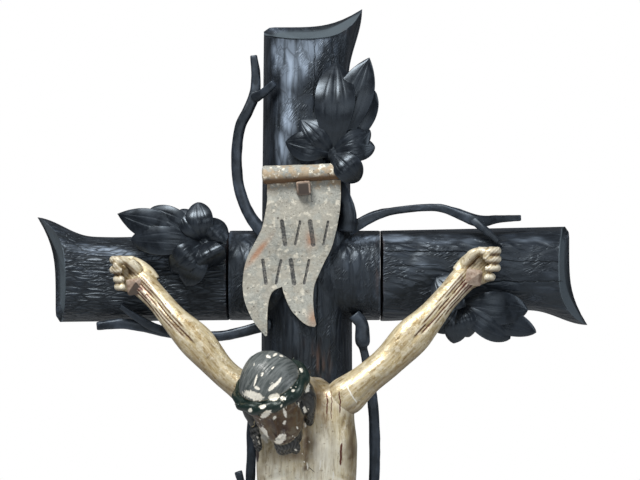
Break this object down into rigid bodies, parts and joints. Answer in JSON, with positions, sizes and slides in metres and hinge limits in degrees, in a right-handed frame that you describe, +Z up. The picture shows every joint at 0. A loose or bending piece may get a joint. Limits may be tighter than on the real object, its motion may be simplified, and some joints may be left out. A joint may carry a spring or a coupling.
{
  "type": "carved wooden crucifix",
  "caption": "Wall crucifix: a rustic half-round log cross with carved twigs, leaf sprays and a name scroll, and a nailed figure.",
  "frame": {"origin": "middle of the crossing of the two logs, on the flat back that lies against the wall", "axes": "+Z up along the post, +Y out of the back towards the wall, +X to the viewer's right"},
  "size_m": [0.634, 0.2111, 1.128],
  "materials": {
    "ebonised_wood": "blackened, tooled, satin",
    "worn_gilding": "worn gilding over gesso, chipped",
    "scroll_paint": "aged off-white paint, matt",
    "nail_wood": "stained, worn"
  },
  "bodies": {
    "root": {"cross_post": "ebonised_wood", "cross_arm_left": "ebonised_wood", "cross_arm_right": "ebonised_wood", "branch_upper_left": "ebonised_wood", "branch_upper_right": "ebonised_wood", "branch_lower_left": "ebonised_wood", "branch_lower_right": "ebonised_wood", "branch_low_left": "ebonised_wood", "leaf_spray_top": "ebonised_wood", "leaf_spray_left": "ebonised_wood", "leaf_spray_right": "ebonised_wood", "titulus_scroll": "scroll_paint", "titulus_nail": "nail_wood", "corpus": "worn_gilding", "corpus_arm_left": "worn_gilding", "corpus_arm_right": "worn_gilding", "nail_left_hand": "nail_wood", "nail_right_hand": "nail_wood", "nail_feet": "nail_wood"}
  },
  "joints": []
}
